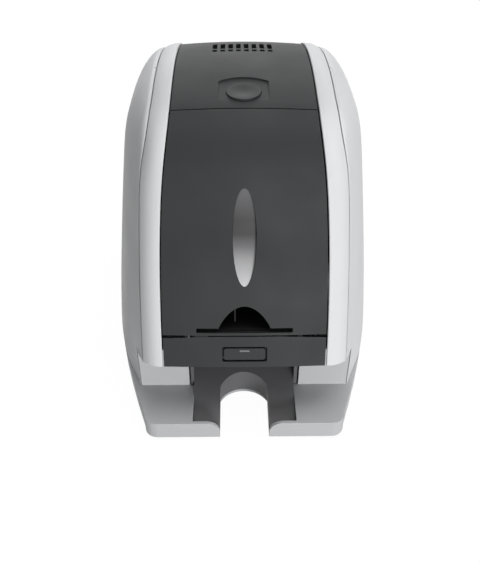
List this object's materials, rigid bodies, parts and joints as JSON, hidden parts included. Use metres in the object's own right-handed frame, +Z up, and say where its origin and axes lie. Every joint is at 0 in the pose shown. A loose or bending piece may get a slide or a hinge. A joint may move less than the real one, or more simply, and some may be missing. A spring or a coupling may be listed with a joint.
{
  "type": "id card printer",
  "caption": "desktop card printer with hinged dark front cover, silver sides, open button, card slot, rear card hopper and notched front output tray",
  "frame": {"origin": "on the table under the middle of the overall box", "axes": "+Z up, the front looks along -Y, +X to the right as seen from the front"},
  "size_m": [0.1792, 0.35, 0.199],
  "materials": {
    "silver_paint": "satin silver paint on moulded plastic",
    "dark_plastic": "fine satin charcoal plastic",
    "hopper_plastic": "grained grey plastic",
    "black_plastic": "black plastic",
    "lens_silver": "bright metallised concave inlay",
    "rubber": "black rubber",
    "steel": "zinc plated steel sheet",
    "shaft_steel": "ground steel",
    "bush_plastic": "natural acetal",
    "roller_rubber": "red brown roller rubber",
    "cleaner_rubber": "tacky amber rubber",
    "aluminium": "aluminium",
    "motor_black": "black motor case",
    "brass": "brass",
    "gear_plastic": "natural acetal gear",
    "cassette_plastic": "blue cassette plastic",
    "ribbon": "dark dye ribbon",
    "board": "green circuit board",
    "light_pipe": "unlit light pipe"
  },
  "bodies": {
    "printer_body": {"lower_case": "silver_paint", "left_side_cover": "silver_paint", "right_side_cover": "silver_paint", "left_trim": "silver_paint", "right_trim": "silver_paint", "top_cover": "dark_plastic", "rear_cover": "dark_plastic", "fascia": "dark_plastic", "output_hopper": "hopper_plastic", "rubber_feet": "rubber", "base_screws": "shaft_steel", "left_side_plate": "steel", "right_side_plate": "steel", "cross_bars": "steel", "shaft_bushes": "bush_plastic", "card_guide_rails": "black_plastic", "hinge_pins": "shaft_steel", "button_spring": "steel", "latch_bracket": "steel", "button_board": "board", "slot_guide": "black_plastic", "drive_belts": "rubber", "transport_motor": "motor_black", "head_guide_posts": "shaft_steel", "ribbon_cassette": "cassette_plastic", "ribbon_film": "ribbon", "ribbon_motor": "motor_black", "main_board": "board", "power_supply": "steel", "fan_housing": "black_plastic", "rear_sockets": "steel", "card_hopper": "hopper_plastic"},
    "cover": {"front_cover": "dark_plastic", "cover_hinge_frame": "black_plastic", "lens_inlay": "lens_silver"},
    "cover_button": {"open_button": "dark_plastic"},
    "hook": {"latch_hook": "shaft_steel"},
    "key": {"control_button": "dark_plastic", "light_bar": "light_pipe"},
    "lever": {"sensor_lever": "shaft_steel"},
    "entry_drive": {"entry_roller": "roller_rubber"},
    "mid_drive": {"mid_roller": "roller_rubber", "drive_gear": "gear_plastic"},
    "platen": {"platen_roller": "rubber"},
    "exit_drive": {"exit_roller": "roller_rubber"},
    "pick": {"pick_roller": "roller_rubber"},
    "entry_pinch": {"entry_pinch_roller": "shaft_steel"},
    "cleaner": {"cleaning_roller": "cleaner_rubber"},
    "exit_pinch": {"exit_pinch_roller": "shaft_steel"},
    "pinion": {"motor_pinion": "brass"},
    "head": {"print_head": "aluminium", "head_carriage": "steel"},
    "cams": {"head_cam_shaft": "shaft_steel"},
    "supply": {"supply_spool": "ribbon"},
    "take_up": {"take_up_spool": "ribbon"},
    "ribbon_drive": {"ribbon_pinion": "brass"},
    "rotor": {"fan_rotor": "black_plastic"},
    "rocker": {"power_switch": "black_plastic"},
    "lid": {"hopper_lid": "dark_plastic"},
    "weight": {"card_weight": "shaft_steel"}
  },
  "joints": [
    {"name": "front_cover_hinge", "type": "hinge", "parent": "printer_body", "child": "cover", "pos_m": [0, -0.15269, 0.0737], "axis": [1, 0, 0], "range_deg": [0, 60]},
    {"name": "open_button_press", "type": "slide", "parent": "printer_body", "child": "cover_button", "axis": [0, 0.193, -0.9812], "range_m": [0, 0.0015], "stiffness_N_per_m": 700, "springref_m": -0.002, "deforming": ["button_spring"]},
    {"name": "latch_hook_pivot", "type": "hinge", "parent": "printer_body", "child": "hook", "pos_m": [0, -0.0824, 0.1705], "axis": [1, 0, 0], "range_deg": [0, 13]},
    {"name": "control_button_press", "type": "slide", "parent": "printer_body", "child": "key", "axis": [0, 0.9511, -0.309], "range_m": [0, 0.0008], "stiffness_N_per_m": 900, "springref_m": -0.001},
    {"name": "sensor_lever_pivot", "type": "hinge", "parent": "printer_body", "child": "lever", "pos_m": [-0.0056, -0.13961, 0.09033], "axis": [1, 0, 0], "range_deg": [0, 18], "stiffness_Nm_per_rad": 0.0005, "springref_deg": -17.19},
    {"name": "mid_roller_spin", "type": "hinge", "parent": "printer_body", "child": "mid_drive", "pos_m": [0, 0.014, 0.052], "axis": [1, 0, 0], "continuous": true},
    {"name": "entry_roller_spin", "type": "hinge", "parent": "printer_body", "child": "entry_drive", "pos_m": [0, 0.048, 0.052], "axis": [1, 0, 0], "continuous": true},
    {"name": "platen_roller_spin", "type": "hinge", "parent": "printer_body", "child": "platen", "pos_m": [0, -0.022, 0.052], "axis": [1, 0, 0], "continuous": true},
    {"name": "exit_roller_spin", "type": "hinge", "parent": "printer_body", "child": "exit_drive", "pos_m": [0, -0.072, 0.052], "axis": [1, 0, 0], "continuous": true},
    {"name": "pick_roller_spin", "type": "hinge", "parent": "printer_body", "child": "pick", "pos_m": [0, 0.0994, 0.0505], "axis": [1, 0, 0], "continuous": true},
    {"name": "entry_pinch_spin", "type": "hinge", "parent": "printer_body", "child": "entry_pinch", "pos_m": [0, 0.048, 0.0638], "axis": [1, 0, 0], "continuous": true},
    {"name": "cleaning_roller_spin", "type": "hinge", "parent": "printer_body", "child": "cleaner", "pos_m": [0, 0.014, 0.0638], "axis": [1, 0, 0], "continuous": true},
    {"name": "exit_pinch_spin", "type": "hinge", "parent": "printer_body", "child": "exit_pinch", "pos_m": [0, -0.072, 0.0638], "axis": [1, 0, 0], "continuous": true},
    {"name": "motor_pinion_spin", "type": "hinge", "parent": "printer_body", "child": "pinion", "pos_m": [0, 0.00209, 0.023], "axis": [1, 0, 0], "continuous": true},
    {"name": "head_cam_turn", "type": "hinge", "parent": "printer_body", "child": "cams", "pos_m": [0, -0.038, 0.124], "axis": [1, 0, 0], "range_deg": [0, 180]},
    {"name": "head_lift", "type": "slide", "parent": "printer_body", "child": "head", "axis": [0, 0, 1], "range_m": [0, 0.003]},
    {"name": "take_up_spin", "type": "hinge", "parent": "printer_body", "child": "take_up", "pos_m": [0, -0.066, 0.112], "axis": [1, 0, 0], "continuous": true},
    {"name": "supply_spin", "type": "hinge", "parent": "printer_body", "child": "supply", "pos_m": [0, 0.024, 0.112], "axis": [1, 0, 0], "continuous": true},
    {"name": "ribbon_pinion_spin", "type": "hinge", "parent": "printer_body", "child": "ribbon_drive", "pos_m": [0, -0.066, 0.0909], "axis": [1, 0, 0], "continuous": true},
    {"name": "fan_spin", "type": "hinge", "parent": "printer_body", "child": "rotor", "pos_m": [0, -0.024, 0.172], "axis": [0, 0, 1], "continuous": true},
    {"name": "power_switch_rock", "type": "hinge", "parent": "printer_body", "child": "rocker", "pos_m": [0.027, 0.07034, 0.03], "axis": [1, 0, 0], "range_deg": [0, 9]},
    {"name": "hopper_lid_hinge", "type": "hinge", "parent": "printer_body", "child": "lid", "pos_m": [0, 0.0859, 0.1251], "axis": [1, 0, 0], "range_deg": [0, 85]},
    {"name": "card_weight_slide", "type": "slide", "parent": "printer_body", "child": "weight", "axis": [0, 0, 1], "range_m": [0, 0.054]}
  ],
  "couplings": [
    {"joint": "latch_hook_pivot", "follows": "open_button_press", "rad_per_m": 148.5},
    {"joint": "entry_roller_spin", "follows": "mid_roller_spin", "ratio": 1},
    {"joint": "platen_roller_spin", "follows": "mid_roller_spin", "ratio": 1},
    {"joint": "exit_roller_spin", "follows": "mid_roller_spin", "ratio": 1},
    {"joint": "pick_roller_spin", "follows": "mid_roller_spin", "ratio": 1},
    {"joint": "entry_pinch_spin", "follows": "mid_roller_spin", "ratio": -1.2},
    {"joint": "cleaning_roller_spin", "follows": "mid_roller_spin", "ratio": -1.2},
    {"joint": "exit_pinch_spin", "follows": "mid_roller_spin", "ratio": -1.2},
    {"joint": "motor_pinion_spin", "follows": "mid_roller_spin", "ratio": -3.4286},
    {"joint": "head_cam_turn", "follows": "head_lift", "rad_per_m": 1047.2},
    {"joint": "supply_spin", "follows": "take_up_spin", "ratio": 0.76471},
    {"joint": "ribbon_pinion_spin", "follows": "take_up_spin", "ratio": -3.3333}
  ]
}
